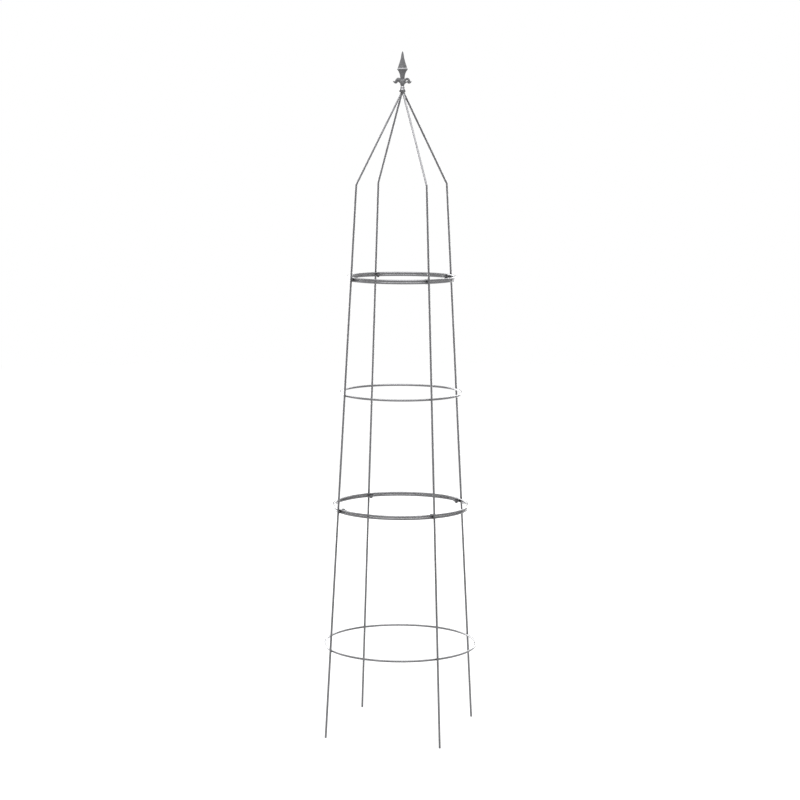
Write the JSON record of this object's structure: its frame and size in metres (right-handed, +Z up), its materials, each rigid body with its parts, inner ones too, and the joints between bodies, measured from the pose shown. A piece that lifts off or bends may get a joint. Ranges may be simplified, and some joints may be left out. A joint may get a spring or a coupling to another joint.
{
  "type": "garden obelisk plant support",
  "caption": "Free-standing garden obelisk of steel rod with inner hoops, bolted sections and a cast spear finial, for climbing plants.",
  "frame": {"origin": "on the ground, in the middle between the four feet, under the finial's tip", "axes": "+Z up along the obelisk; +X to the right and +Y to the back, with the legs on the diagonals"},
  "size_m": [0.4326, 0.4326, 1.9],
  "materials": {
    "rod_coating": "satin dark grey powder coat on steel rod",
    "casting_coating": "matt dark grey coat with the grain of a sand casting",
    "bell_coating": "glossy dark grey coat on a turned bell",
    "fastener_plating": "black passivated zinc plate"
  },
  "bodies": {
    "frame": {"lower_leg_back_right": "rod_coating", "lower_leg_back_left": "rod_coating", "lower_leg_front_left": "rod_coating", "lower_leg_front_right": "rod_coating", "middle_leg_back_right": "rod_coating", "middle_leg_back_left": "rod_coating", "middle_leg_front_left": "rod_coating", "middle_leg_front_right": "rod_coating", "upper_leg_back_right": "rod_coating", "upper_leg_back_left": "rod_coating", "upper_leg_front_left": "rod_coating", "upper_leg_front_right": "rod_coating", "lower_section_hoop": "rod_coating", "lower_section_top_hoop": "rod_coating", "middle_section_bottom_hoop": "rod_coating", "middle_section_hoop": "rod_coating", "middle_section_top_hoop": "rod_coating", "upper_section_bottom_hoop": "rod_coating", "lower_top_tab_back_right": "rod_coating", "lower_top_tab_back_left": "rod_coating", "lower_top_tab_front_left": "rod_coating", "lower_top_tab_front_right": "rod_coating", "middle_bottom_tab_back_right": "rod_coating", "middle_bottom_tab_back_left": "rod_coating", "middle_bottom_tab_front_left": "rod_coating", "middle_bottom_tab_front_right": "rod_coating", "middle_top_tab_back_right": "rod_coating", "middle_top_tab_back_left": "rod_coating", "middle_top_tab_front_left": "rod_coating", "middle_top_tab_front_right": "rod_coating", "upper_bottom_tab_back_right": "rod_coating", "upper_bottom_tab_back_left": "rod_coating", "upper_bottom_tab_front_left": "rod_coating", "upper_bottom_tab_front_right": "rod_coating", "lower_joint_bolt_back_right": "fastener_plating", "lower_joint_bolt_back_left": "fastener_plating", "lower_joint_bolt_front_left": "fastener_plating", "lower_joint_bolt_front_right": "fastener_plating", "lower_joint_nut_back_right": "fastener_plating", "lower_joint_nut_back_left": "fastener_plating", "lower_joint_nut_front_left": "fastener_plating", "lower_joint_nut_front_right": "fastener_plating", "upper_joint_bolt_back_right": "fastener_plating", "upper_joint_bolt_back_left": "fastener_plating", "upper_joint_bolt_front_left": "fastener_plating", "upper_joint_bolt_front_right": "fastener_plating", "upper_joint_nut_back_right": "fastener_plating", "upper_joint_nut_back_left": "fastener_plating", "upper_joint_nut_front_left": "fastener_plating", "upper_joint_nut_front_right": "fastener_plating", "top_boss": "rod_coating", "finial_stud": "fastener_plating"},
    "finial": {"finial": "casting_coating", "finial_bell": "bell_coating"}
  },
  "joints": [
    {"name": "finial_turn", "type": "hinge", "parent": "frame", "child": "finial", "pos_m": [0, 0, 1.7953], "axis": [0, 0, 1], "continuous": true}
  ]
}
